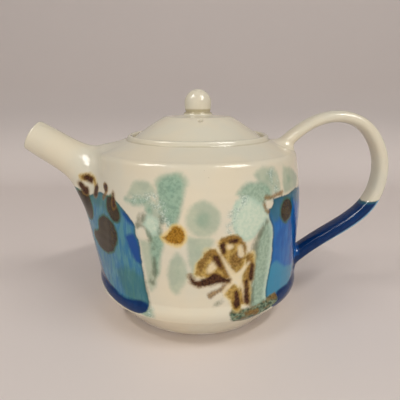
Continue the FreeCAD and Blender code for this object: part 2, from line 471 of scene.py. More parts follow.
def panels() -> List[Mark]:
    """Blue panels beside the spout and the handle, with what floats in them."""
    left = (
        (-112, 84), (-93, 82), (-85, 81), (-77, 84), (-70, 86), (-61, 86), (-54, 86),
        (-48, 84), (-42, 80), (-38, 77), (-35, 73), (-33, 67), (-32, 56), (-31, 44),
        (-30, 35), (-29, 25), (-34, 21), (-42, 20), (-51, 21), (-65, 23), (-78, 24),
        (-112, 24),
    )
    right = (
        (45, 87), (42, 83), (41, 79), (44, 72), (45, 63), (45, 50), (43, 38), (43, 29),
        (46, 22), (52, 19), (64, 20), (80, 22), (112, 23), (112, 88), (82, 87), (71, 88),
        (60, 87), (52, 87),
    )
    left_ridge = (
        (-112, 34), (-82, 33), (-70, 30), (-57, 28), (-45, 27), (-28, 26), (-30, 19),
        (-48, 18), (-66, 21), (-112, 22),
    )
    right_ridge = (
        (44, 25), (54, 28), (70, 28), (84, 31), (112, 32), (112, 20), (80, 19), (60, 17),
        (48, 18),
    )
    oval = (
        (-64, 73), (-57, 72), (-52, 69), (-50, 65), (-52, 59), (-57, 53), (-65, 50),
        (-75, 51), (-81, 57), (-77, 60), (-73, 62), (-71, 69),
    )
    slip = ((-60, 85), (-54, 86), (-51, 83), (-47, 79), (-47, 75), (-50, 73), (-55, 74), (-60, 80))
    return [
        Pool(Layer.BLUE, left),
        Pool(Layer.BLUE, right),
        Pool(Layer.NAVY, left_ridge),
        Pool(Layer.NAVY, right_ridge),
        Pool(Layer.DEEP, ((-46, 80), (-42, 80), (-37, 77), (-36, 74), (-39, 74), (-42, 76))),
        Pool(Layer.DEEP, ((-43, 66), (-36, 68), (-33, 63), (-33, 51), (-37, 54), (-40, 59))),
        Pool(Layer.TIDE, ((44, 46), (49, 49), (57, 44), (76, 38), (86, 31), (70, 26), (43, 27))),
        Pool(Layer.SEA, ((-54, 42), (-43, 47), (-33, 44), (-29, 27), (-46, 28))),
        Pool(Layer.SEA, (
            (-112, 84), (-77, 85), (-60, 87), (-45, 84), (-47, 76), (-64, 77), (-112, 76),
        )),
        Pool(Layer.SEA, ((42, 88), (56, 89), (80, 89), (82, 80), (60, 81), (46, 74), (41, 80))),
        Pool(Layer.BROWN, oval),
        Pool(Layer.BROWN, slip),
        Pool(Layer.BROWN, ((-95, 82), (-86, 82), (-81, 76), (-80, 69), (-84, 66), (-93, 70))),
        Dab(Layer.BROWN, 57.5, 78, 6.2, 6.6),
        Stroke(Layer.SMOKE, ((-32, 50), (-31, 40), (-29, 26)), 0.3, 1.0),
        Stroke(Layer.CHAR, ((-89, 87), (-86, 84)), 1.4, 2.2),
        Stroke(Layer.CHAR, ((-76, 87), (-76, 84)), 2.0, 2.2),
        Stroke(Layer.CHAR, ((-53, 88), (-52, 82)), 0.4, 1.5),
        Stroke(Layer.CHAR, ((-86, 92), (-83, 91)), 1.6, 1.9),
        Stroke(Layer.PETAL, ((-87, 92), (-81, 92), (-78, 89)), 1.6, 0.8),
        Stroke(Layer.RUST, ((-64, 91), (-61, 89), (-65, 84)), 1.6, 1.0),
        Dab(Layer.CHAR, -62, 90, 2.2, 2.0),
    ]


def green_dabs() -> List[Mark]:
    """Sage, jade and mint dabs between the panels."""
    fan = ((-42, 88), (-39, 93), (-36, 97), (-31, 98), (-26, 97), (-23, 93), (-29, 90), (-36, 89))
    wedge = (
        (-23, 99), (-20, 102), (-14, 103), (-8, 103), (-5, 99), (-7, 93), (-8, 87), (-10, 79),
        (-13, 75), (-16, 77), (-18, 83), (-20, 89),
    )
    left_ribbon = (
        (-33, 72), (-26, 72), (-19, 72), (-20, 64), (-20, 57), (-22, 48), (-24, 39), (-27, 36),
        (-29, 42), (-30, 49), (-32, 62),
    )
    right_ribbon = (
        (38, 76), (43, 73), (44, 60), (44, 46), (42, 34), (42, 26), (33, 25), (32, 40), (32, 52),
        (33, 63),
    )
    pale_oval = (
        (18, 78), (19, 85), (23, 90), (29, 90), (34, 87), (39, 83), (41, 78), (39, 74), (34, 69),
        (29, 66), (23, 67), (19, 72),
    )
    tear = (
        (-11, 61), (-8, 59), (-6, 54), (-5, 49), (-8, 42), (-12, 36), (-15, 39), (-16, 46),
        (-15, 55),
    )
    return [
        Pool(Layer.SAGE, fan),
        Pool(Layer.JADE, ((-43, 87), (-36, 89), (-29, 90), (-25, 89), (-29, 86), (-38, 85))),
        Pool(Layer.SAGE, wedge),
        Pool(Layer.JADE, (
            (-21, 91), (-21, 98), (-18, 101), (-9, 101), (-7, 97), (-8, 88), (-10, 80), (-13, 75),
            (-18, 80),
        )),
        Pool(Layer.SAGE, (
            (-29, 88), (-22, 88), (-18, 84), (-17, 77), (-20, 76), (-25, 80), (-28, 83),
        )),
        Dab(Layer.JADE, -26, 83, 2.2, 3.0),
        Stroke(Layer.CRYSTAL, ((-36, 88), (-24, 89), (-20, 85), (-18, 78)), 0.6, 3.4),
        Dab(Layer.MINT, -25, 75, 5.6, 5.6),
        Dab(Layer.SMOKE, -31, 78, 2.2, 3.0, -20),
        Stroke(Layer.SMOKE, ((-33, 74), (-29, 72), (-26, 68), (-24, 63)), 1.5, 0.6),
        Stroke(Layer.SMOKE, ((-19, 80), (-20, 72)), 1.0, 0.6),
        Pool(Layer.SAGE, left_ribbon),
        Pool(Layer.JADE, ((-26, 70), (-20, 70), (-20, 56), (-23, 46), (-25, 56))),
        Pool(Layer.GAP, ((-35, 72), (-30, 74), (-27, 70), (-26, 66), (-30, 66), (-34, 67))),
        Stroke(Layer.SMOKE, ((-24, 56), (-24, 50), (-26, 42)), 0.6, 1.4),
        Dab(Layer.SAGE, 3, 79.5, 9, 9.6),
        Pool(Layer.SAGE, ((-6, 71), (1, 70), (8, 69), (6, 62), (2, 56), (-2, 47), (-5, 60))),
        Pool(Layer.SAGE, tear),
        Pool(Layer.SAGE, (
            (32, 101), (36, 104), (43, 104), (49, 101), (51, 90), (44, 90), (37, 94),
        )),
        Pool(Layer.JADE, ((21, 92), (25, 96), (33, 97), (43, 92), (44, 87), (38, 84), (30, 87))),
        Pool(Layer.SAGE, ((56, 103), (65, 101), (71, 98), (78, 93), (72, 89), (62, 88), (56, 88))),
        Pool(Layer.MINT, pale_oval),
        Stroke(Layer.CRYSTAL, ((18, 70), (19, 82), (25, 89)), 1.6, 1.8),
        Stroke(Layer.CRYSTAL, ((44, 101), (48, 93)), 1.4, 2.0),
        Pool(Layer.JADE, right_ribbon),
        Stroke(Layer.MINT, ((41, 77), (44, 68), (44, 55), (43, 40), (42, 29)), 1.2, 1.6),
        Stroke(Layer.SMOKE, ((40, 75), (36, 70), (33, 64), (32, 58)), 0.9, 2.0),
        Stroke(Layer.SMOKE, ((33, 62), (31, 46), (32, 29)), 1.8, 1.6),
        Stroke(Layer.GAP, ((51, 105), (52, 98), (54, 88)), 1.2, 1.3),
        Dab(Layer.GAP, 41.5, 84.5, 3.2, 2.8),
        Stroke(Layer.RUST, ((39, 88), (46, 88), (53, 89)), 0.7, 1.1),
        Stroke(Layer.RUST, ((38, 85), (39, 82), (41, 80)), 0.8, 0.6),
        Dab(Layer.JADE, -30, 23, 5, 3.4),
        Dab(Layer.CRYSTAL, -29.5, 23, 4, 3),
    ]


def flower() -> List[Mark]:
    """Amber flower with burnt strokes, its pip and the dark pool below it."""
    pip = ((-19, 69), (-15, 73), (-12, 76), (-9, 76), (-6, 71), (-7, 67), (-11, 65), (-15, 66))
    upper = (
        (11, 67), (15, 69), (19, 70), (23, 67), (26, 62), (26, 54), (24, 49), (20, 48), (17, 52),
        (13, 60),
    )
    left = ((-1, 49), (-1, 53), (2, 58), (5, 63), (9, 63), (13, 59), (16, 52), (17, 47), (8, 46))
    low = ((15, 39), (20, 41), (24, 37), (26, 32), (25, 27), (22, 26), (20, 29), (17, 34))
    pool = (
        (18, 25), (21, 27), (27, 26), (34, 26), (42, 27), (50, 28), (53, 25), (48, 21), (40, 19),
        (33, 16), (24, 17), (19, 20),
    )
    return [
        Pool(Layer.AMBER, pip),
        Pool(Layer.PETAL, upper),
        Pool(Layer.PETAL, left),
        Pool(Layer.PETAL, low),
        Pool(Layer.PETAL, ((27, 58), (31, 59), (32, 52), (30, 42), (28, 28), (25, 28), (26, 46))),
        Stroke(Layer.RUST, ((14, 68), (20, 69), (25, 64), (26, 60)), 1.3, 1.0),
        Stroke(Layer.RUST, ((1, 51), (3, 57), (7, 62)), 1.0, 1.6),
        Stroke(Layer.RUST, ((8, 61), (12, 56), (16, 48)), 2.2, 1.4),
        Stroke(Layer.RUST, ((7, 36), (11, 38), (15, 41), (17, 44)), 1.4, 1.0),
        Stroke(Layer.RUST, ((29, 58), (30, 50), (28, 40), (27, 30)), 1.2, 1.2),
        Dab(Layer.RUST, 21, 56, 3.0, 4.4, 10),
        Dab(Layer.PALE, 8, 53, 1.8, 3.4, -30),
        Stroke(Layer.PALE, ((23, 63), (24, 59)), 1.0, 1.3),
        Dab(Layer.PALE, 17, 64, 1.8, 1.4),
        Dab(Layer.PALE, 21, 45.5, 2.2, 1.8),
        Stroke(Layer.PALE, ((21, 46), (17, 51), (11, 62)), 1.3, 0.1),
        Stroke(Layer.PALE, ((21, 46), (26, 50), (29, 53)), 1.2, 0.3),
        Stroke(Layer.PALE, ((21, 46), (18, 42), (15, 38)), 1.2, 0.6),
        Stroke(Layer.PALE, ((21, 46), (26, 38), (28, 29)), 1.3, 0.4),
        Stroke(Layer.CHAR, ((-4, 48), (-2, 44), (2, 43)), 0.5, 1.4),
        Stroke(Layer.CHAR, ((1, 43), (9, 46)), 1.4, 2.9),
        Stroke(Layer.CHAR, ((9, 46), (17, 44)), 2.9, 0.8),
        Stroke(Layer.CHAR, ((13, 65), (14, 61)), 1.4, 0.9),
        Dab(Layer.CHAR, 19, 67, 1.9, 0.9),
        Stroke(Layer.CHAR, ((10, 58), (13, 52)), 1.6, 0.8),
        Stroke(Layer.CHAR, ((22, 36), (23, 29)), 1.1, 1.9),
        Stroke(Layer.CHAR, ((31, 51), (31, 43)), 0.9, 1.0),
        Stroke(Layer.CHAR, ((28, 42), (29, 29)), 0.8, 1.2),
        Dab(Layer.SMOKE, 12, 31, 1.8, 1.0, 30),
        Pool(Layer.MOSS, pool),
        Stroke(Layer.RUST, ((28, 23), (35, 22)), 1.0, 1.6),
        Stroke(Layer.RUST, ((44, 26), (51, 27)), 0.8, 1.2),
    ]


class Painter:
    """Reads the marks off the wall into layers on a skin."""

    def __init__(self, marks: Sequence[Mark]) -> None:
        """Keeps the front's marks and their fellows behind."""
        self.marks = list(marks) + [mark.behind() for mark in marks]

    def layers(self, points: np.ndarray, shown: np.ndarray) -> Dict[Layer, np.ndarray]:
        """Layer depths at points.

        Args:
            points: Places in millimetres.
            shown: Which points lie on the pot's outside.

        Returns:
            One value per point for every layer.
        """
        depths = {layer: np.full(len(points), NOWHERE) for layer in Layer}
        around = GIRTH_RADIUS * np.arctan2(points[shown, 0], -points[shown, 1])
        up = points[shown, 2]
        for mark in self.marks:
            middle = mark.middle()
            place = (around - middle + GIRTH / 2) % GIRTH - GIRTH / 2 + middle
            held = depths[mark.layer]
            held[shown] = np.maximum(held[shown], mark.depth(place, up))
        gap = depths.pop(Layer.GAP)
        for layer in (Layer.BLUE, Layer.SAGE, Layer.JADE, Layer.MINT, Layer.SMOKE):
            depths[layer] = np.minimum(depths[layer], -gap)
        return depths


# ---------------------------------------------------------------- finishes


def tone(red: int, green: int, blue: int) -> Tuple[float, float, float, float]:
    """Linear colour of a tone given as it looks on paper, 0 to 255."""
    values = [channel / 255 for channel in (red, green, blue)]
    linear = [v / 12.92 if v <= 0.04045 else ((v + 0.055) / 1.055) ** 2.4 for v in values]
    return (linear[0], linear[1], linear[2], 1.0)


class Wiring:
    """Node tree of one finish, with short ways to add nodes."""

    def __init__(self, name: str) -> None:
        """Starts a material with the plain shader."""
        self.material = bpy.data.materials.new(name)
        self.material.use_nodes = True
        self.tree = self.material.node_tree
        self.shader = self.tree.nodes["Principled BSDF"]
        self.place = self.node("ShaderNodeTexCoord").outputs["Object"]
        self.shader.inputs["Specular IOR Level"].default_value = 0.25
        self.grains: Dict[Tuple[float, float, float], Socket] = {}

    def node(self, kind: str) -> bpy.types.Node:
        """New node of that kind."""
        return self.tree.nodes.new(kind)

    def feed(self, target: Socket, source: Feed) -> None:
        """Links a socket or sets a value."""
        if isinstance(source, bpy.types.NodeSocket):
            self.tree.links.new(source, target)
        else:
            target.default_value = source

    def math(self, how: str, first: Feed, second: Feed = 0.0) -> Socket:
        """Sum, product or other operation of two values."""
        made = self.node("ShaderNodeMath")
        made.operation = how
        self.feed(made.inputs[0], first)
        self.feed(made.inputs[1], second)
        return made.outputs[0]

    def total(self, *parts: Tuple[Feed, float]) -> Socket:
        """Weighted sum of values."""
        result = self.math("MULTIPLY", parts[0][0], parts[0][1])
        for value, weight in parts[1:]:
            result = self.math("ADD", result, self.math("MULTIPLY", value, weight))
        return result

    def step(self, value: Feed, low: float, high: float, top: float = 1.0) -> Socket:
        """Smooth rise from 0 to top as value goes from low to high."""
        made = self.node("ShaderNodeMapRange")
        made.interpolation_type = "SMOOTHSTEP"
        self.feed(made.inputs["Value"], value)
        made.inputs["From Min"].default_value = low
        made.inputs["From Max"].default_value = high
        made.inputs["To Max"].default_value = top
        return made.outputs["Result"]

    def mix(self, share: Feed, under: Feed, over: Feed, strength: float = 1.0) -> Socket:
        """Colour over another by a share times a strength."""
        if strength != 1.0:
            share = self.math("MULTIPLY", share, strength)
        made = self.node("ShaderNodeMix")
        made.data_type = "RGBA"
        self.feed(made.inputs[0], share)
        self.feed(made.inputs[6], under)
        self.feed(made.inputs[7], over)
        return made.outputs[2]

    def grain(self, size: float, stretch: float = 1.0, detail: float = 3.0) -> Socket:
        """Noise of a feature size in millimetres, drawn out upwards by stretch."""
        key = (size, stretch, detail)
        if key in self.grains:
            return self.grains[key]
        scaled = self.node("ShaderNodeMapping")
        scaled.inputs["Scale"].default_value = (1, 1, 1 / stretch)
        self.feed(scaled.inputs["Vector"], self.place)
        made = self.node("ShaderNodeTexNoise")
        self.feed(made.inputs["Vector"], scaled.outputs[0])
        made.inputs["Scale"].default_value = 1 / (size * MM)
        made.inputs["Detail"].default_value = detail
        self.grains[key] = made.outputs["Fac"]
        return made.outputs["Fac"]

    def layer(self, layer: Layer) -> Socket:
        """Depth of a glaze layer on the mesh."""
        made = self.node("ShaderNodeAttribute")
        made.attribute_name = layer.value
        return made.outputs["Fac"]

    def relief(self, height: Socket) -> None:
        """Bumps the surface by a height in millimetres."""
        made = self.node("ShaderNodeBump")
        made.inputs["Distance"].default_value = MM
        self.feed(made.inputs["Height"], height)
        self.feed(self.shader.inputs["Normal"], made.outputs["Normal"])


@dataclass(frozen=True)
class CreamGlaze:
    """Clear glossy glaze over warm white porcelain."""

    warm: Tuple[float, ...] = tone(222, 211, 186)
    cool: Tuple[float, ...] = tone(216, 210, 190)
    # Pooled glaze colour, also used as painted shade in the knob's groove and under the lip.
    pooled: Tuple[float, ...] = tone(170, 156, 118)
    speck: Tuple[float, ...] = tone(150, 130, 100)
    gloss: float = 0.11
    pool_size: float = 34.0

    def colour(self, wiring: Wiring) -> Socket:
        """Warm and cool drifts, deeper where the glaze pooled and darker as painted shade in the
        knob's groove and the crease under the lip, with a few small specks.
        """
        drift = wiring.step(wiring.grain(self.pool_size), 0.35, 0.65)
        ground = wiring.mix(drift, self.warm, self.cool)
        # Thicker glaze in the knob's groove and under the lip, laid darker there as painted shade.
        thick = wiring.step(wiring.layer(Layer.POOL_AND_SHADE), 0.0, 1.2, 0.75)
        ground = wiring.mix(thick, ground, self.pooled)
        specks = wiring.step(wiring.grain(1.3, 1.0, 1.0), 0.80, 0.86, 0.5)
        return wiring.mix(specks, ground, self.speck)

    def roughness(self, wiring: Wiring) -> Socket:
        """Gloss with soft drifts."""
        drift = wiring.math("MULTIPLY", wiring.grain(9.0), 0.10)
        return wiring.math("ADD", drift, self.gloss - 0.05)

    def ripple(self, wiring: Wiring) -> Socket:
        """Height in millimetres of the glaze's soft unevenness."""
        return wiring.total((wiring.grain(7.0), 0.10), (wiring.grain(1.6), 0.012))

    def material(self) -> bpy.types.Material:
        """Finished material."""
        wiring = Wiring("cream glaze")
        wiring.feed(wiring.shader.inputs["Base Color"], self.colour(wiring))
        wiring.feed(wiring.shader.inputs["Roughness"], self.roughness(wiring))
        wiring.relief(self.ripple(wiring))
        return wiring.material


@dataclass(frozen=True)
class BareClay:
    """Unglazed fired porcelain, matt, with fine throwing grain."""

    pale: Tuple[float, ...] = tone(226, 219, 207)
    toasted: Tuple[float, ...] = tone(208, 190, 166)

    def colour(self, wiring: Wiring) -> Socket:
        """Pale clay, toasted in places."""
        fleck = wiring.total((wiring.grain(9.0), 0.7), (wiring.grain(0.7), 0.3))
        return wiring.mix(wiring.step(fleck, 0.4, 0.7), self.pale, self.toasted)

    def material(self) -> bpy.types.Material:
        """Finished material."""
        wiring = Wiring("bare porcelain")
        wiring.feed(wiring.shader.inputs["Base Color"], self.colour(wiring))
        rough = wiring.math("ADD", wiring.math("MULTIPLY", wiring.grain(2.0), 0.2), 0.5)
        wiring.feed(wiring.shader.inputs["Roughness"], rough)
        wiring.relief(wiring.total((wiring.grain(1.0), 0.05), (wiring.grain(0.3), 0.02)))
        return wiring.material


@dataclass(frozen=True)
class SplashedGlaze:
    """Cream glaze with poured and brushed colours that ran in the firing."""

    cream: CreamGlaze = CreamGlaze()
    clay: BareClay = BareClay()

    def mask(
        self, wiring: Wiring, layer: Layer, soft: float, shift: float = 0.0, fray: float = 1.0
    ) -> Socket:
        """How much a layer covers, with an edge that wanders.

        Args:
            wiring: Node tree to add to.
            layer: The layer.
            soft: Width of the edge in millimetres.
            shift: Millimetres by which the layer spreads.
            fray: How far the edge wanders, as a share of about 2 mm.

        Returns:
            Cover, from 0 to 1.
        """
        wander = wiring.total(
            (wiring.layer(layer), 1.0),
            (wiring.grain(5.0), 2.6 * fray),
            (wiring.grain(1.1), 1.1 * fray),
        )
        middle = 1.85 * fray - shift
        return wiring.step(wander, middle - soft / 2, middle + soft / 2)

    def blues(self, wiring: Wiring) -> Socket:
        """Running blues, greener on the spout side and stronger on the handle side."""
        fine = wiring.step(wiring.grain(2.4, 5.0, 4.0), 0.36, 0.64)
        broad = wiring.step(wiring.grain(8.0, 2.5), 0.42, 0.62)
        teal = wiring.mix(fine, tone(56, 118, 154), tone(82, 138, 148))
        light = wiring.step(wiring.grain(3.6, 3.0), 0.54, 0.70, 0.45)
        teal = wiring.mix(broad, teal, tone(58, 110, 160), 0.45)
        teal = wiring.mix(light, teal, tone(112, 164, 178))
        cobalt = wiring.mix(fine, tone(18, 96, 170), tone(34, 108, 176))
        cobalt = wiring.mix(broad, cobalt, tone(22, 72, 146), 0.6)
        split = wiring.node("ShaderNodeSeparateXYZ")
        wiring.feed(split.inputs[0], wiring.place)
        side = wiring.step(split.outputs["X"], 0.0, 0.02)
        blue = wiring.mix(side, teal, cobalt)
        tide = self.mask(wiring, Layer.TIDE, 3.0)
        blue = wiring.mix(tide, blue, tone(62, 142, 170), 0.85)
        sea = self.mask(wiring, Layer.SEA, 6.0, 0.0, 1.6)
        blue = wiring.mix(sea, blue, tone(62, 112, 100), 0.62)
        blue = wiring.mix(self.mask(wiring, Layer.DEEP, 3.0), blue, tone(24, 74, 142))
        rim = wiring.math("SUBTRACT", 1.0, self.mask(wiring, Layer.BLUE, 2.0, -1.3, 0.5))
        return wiring.mix(rim, blue, tone(44, 84, 82), 0.6)

    def browns(self, wiring: Wiring, under: Socket) -> Socket:
        """Brown ovals with a green rim, over what is under them."""
        rim = self.mask(wiring, Layer.BROWN, 1.6, 1.2)
        under = wiring.mix(rim, under, tone(60, 96, 70), 0.85)
        dapple = wiring.step(wiring.grain(2.4, 1.0, 5.0), 0.34, 0.66)
        brown = wiring.mix(dapple, tone(44, 32, 20), tone(66, 54, 30))
        return wiring.mix(self.mask(wiring, Layer.BROWN, 1.2), under, brown)

    def ambers(self, wiring: Wiring, under: Socket) -> Socket:
        """Amber drops, petals and dark strokes with yellow halos."""
        speckle = wiring.step(wiring.grain(1.2, 1.0, 5.0), 0.28, 0.72)
        halo = self.mask(wiring, Layer.AMBER, 2.6, 0.8)
        under = wiring.mix(halo, under, tone(222, 190, 108), 0.85)
        heart = wiring.mix(speckle, tone(126, 86, 16), tone(180, 130, 38))
        under = wiring.mix(self.mask(wiring, Layer.AMBER, 1.6, -0.5), under, heart)
        glow = self.mask(wiring, Layer.PETAL, 2.6, 1.0, 1.2)
        under = wiring.mix(glow, under, tone(220, 196, 126), 0.7)
        blotch = wiring.step(wiring.grain(2.6), 0.40, 0.60)
        ochre = wiring.mix(blotch, tone(186, 152, 78), tone(140, 110, 48))
        ochre = wiring.mix(speckle, ochre, tone(206, 176, 104), 0.35)
        under = wiring.mix(self.mask(wiring, Layer.PETAL, 1.8, 0.0, 1.3), under, ochre)
        stain = wiring.mix(speckle, tone(98, 68, 28), tone(150, 112, 50))
        rusty = self.mask(wiring, Layer.RUST, 2.2, 0.3, 1.3)
        under = wiring.mix(rusty, under, stain, 0.8)
        pale = self.mask(wiring, Layer.PALE, 2.2, 0.4)
        under = wiring.mix(pale, under, tone(232, 216, 180), 0.8)
        glow = self.mask(wiring, Layer.CHAR, 2.2, 1.2, 1.2)
        under = wiring.mix(glow, under, tone(150, 112, 44), 0.55)
        burnt = wiring.mix(speckle, tone(44, 20, 10), tone(90, 54, 26))
        return wiring.mix(self.mask(wiring, Layer.CHAR, 1.8, 0.2, 1.1), under, burnt)

    def greens(self, wiring: Wiring, under: Socket) -> Socket:
        """Sage, jade and mint dabs with smoke and crystals, over what is under them."""
        cloud = wiring.step(wiring.grain(11.0), 0.40, 0.60)
        mottle = wiring.step(wiring.grain(1.8), 0.35, 0.65)
        sage = wiring.mix(cloud, tone(146, 168, 146), tone(166, 182, 156))
        sage = wiring.mix(mottle, sage, tone(136, 158, 136), 0.25)
        cover = wiring.total(
            (self.mask(wiring, Layer.SAGE, 3.6), 0.66),
            (self.mask(wiring, Layer.SAGE, 5.0, -5.5), 0.26),
        )
        under = wiring.mix(cover, under, sage)
        jade = wiring.mix(mottle, tone(120, 154, 134), tone(146, 178, 154))
        under = wiring.mix(self.mask(wiring, Layer.JADE, 4.0), under, jade, 0.80)
        mint = wiring.mix(mottle, tone(190, 210, 188), tone(204, 217, 195))
        rim = wiring.math("SUBTRACT", 1.0, self.mask(wiring, Layer.MINT, 3.0, -2.0))
        mint = wiring.mix(rim, mint, tone(152, 188, 170), 0.35)
        under = wiring.mix(self.mask(wiring, Layer.MINT, 3.0), under, mint, 0.92)
        needles = wiring.step(wiring.grain(0.9, 1.0, 2.0), 0.38, 0.66)
        sugar = wiring.mix(needles, tone(136, 160, 146), tone(212, 224, 212))
        patchy = wiring.step(wiring.grain(3.2), 0.36, 0.60, 0.75)
        spots = wiring.math("MULTIPLY", self.mask(wiring, Layer.CRYSTAL, 5.0, 0.6, 1.8), patchy)
        under = wiring.mix(spots, under, sugar)
        soot = wiring.step(wiring.grain(3.4, 2.0, 5.0), 0.26, 0.54)
        smoke = wiring.math("MULTIPLY", self.mask(wiring, Layer.SMOKE, 2.8, 0.5), soot)
        return wiring.mix(smoke, under, tone(98, 104, 82), 0.72)

    def mosses(self, wiring: Wiring, under: Socket) -> Socket:
        """Dark pooled green along the ridge."""
        patch = wiring.step(wiring.grain(2.0), 0.40, 0.62)
        moss = wiring.mix(patch, tone(66, 84, 66), tone(124, 140, 114))
        warm = wiring.step(wiring.grain(4.4, 0.6), 0.50, 0.64, 0.7)
        moss = wiring.mix(warm, moss, tone(122, 104, 66))
        return wiring.mix(self.mask(wiring, Layer.MOSS, 1.8), under, moss)

    def material(self) -> bpy.types.Material:
        """Finished material."""
        wiring = Wiring("splashed glaze")
        colour = self.greens(wiring, self.cream.colour(wiring))
        blue = self.mask(wiring, Layer.BLUE, 1.2, 0.0, 0.5)
        colour = wiring.mix(blue, colour, self.blues(wiring))
        # Navy on the ridge bands, and on the handle's lower run where it is partly painted shade.
        navy = self.mask(wiring, Layer.NAVY, 2.0, 0.0, 0.5)
        night = wiring.mix(wiring.grain(3.0, 2.0), tone(2, 32, 74), tone(14, 56, 108))
        colour = wiring.mix(wiring.math("MULTIPLY", navy, blue), colour, night)
        # Pale blue on the handle's outer edges: partly thin glaze, partly a painted highlight.
        thin = wiring.math("MULTIPLY", wiring.step(wiring.layer(Layer.EDGE), -0.5, 0.5), blue)
        colour = wiring.mix(thin, colour, tone(126, 178, 212))
        colour = self.mosses(wiring, colour)
        colour = self.browns(wiring, colour)
        colour = self.ambers(wiring, colour)
        glaze_line = wiring.total((wiring.layer(Layer.BARE), 1.0), (wiring.grain(6.0), 1.0))
        bare = wiring.step(glaze_line, 0.3, 0.6)
        colour = wiring.mix(bare, colour, self.clay.colour(wiring))
        wiring.feed(wiring.shader.inputs["Base Color"], colour)
        dull = wiring.total(
            (self.cream.roughness(wiring), 1.0),
            (self.mask(wiring, Layer.BROWN, 1.2), 0.10),
            (self.mask(wiring, Layer.CRYSTAL, 5.0, 0.0, 1.8), 0.08),
            (bare, 0.45),
        )
        wiring.feed(wiring.shader.inputs["Roughness"], dull)
        wiring.relief(wiring.total(
            (self.cream.ripple(wiring), 1.0),
            (blue, 0.10),
            (self.mask(wiring, Layer.SAGE, 3.6), 0.04),
            (self.mask(wiring, Layer.CHAR, 1.3, 0.1, 1.1), 0.05),
            (wiring.grain(2.4, 5.0, 4.0), 0.02),
        ))
        return wiring.material


# ---------------------------------------------------------------- the pot


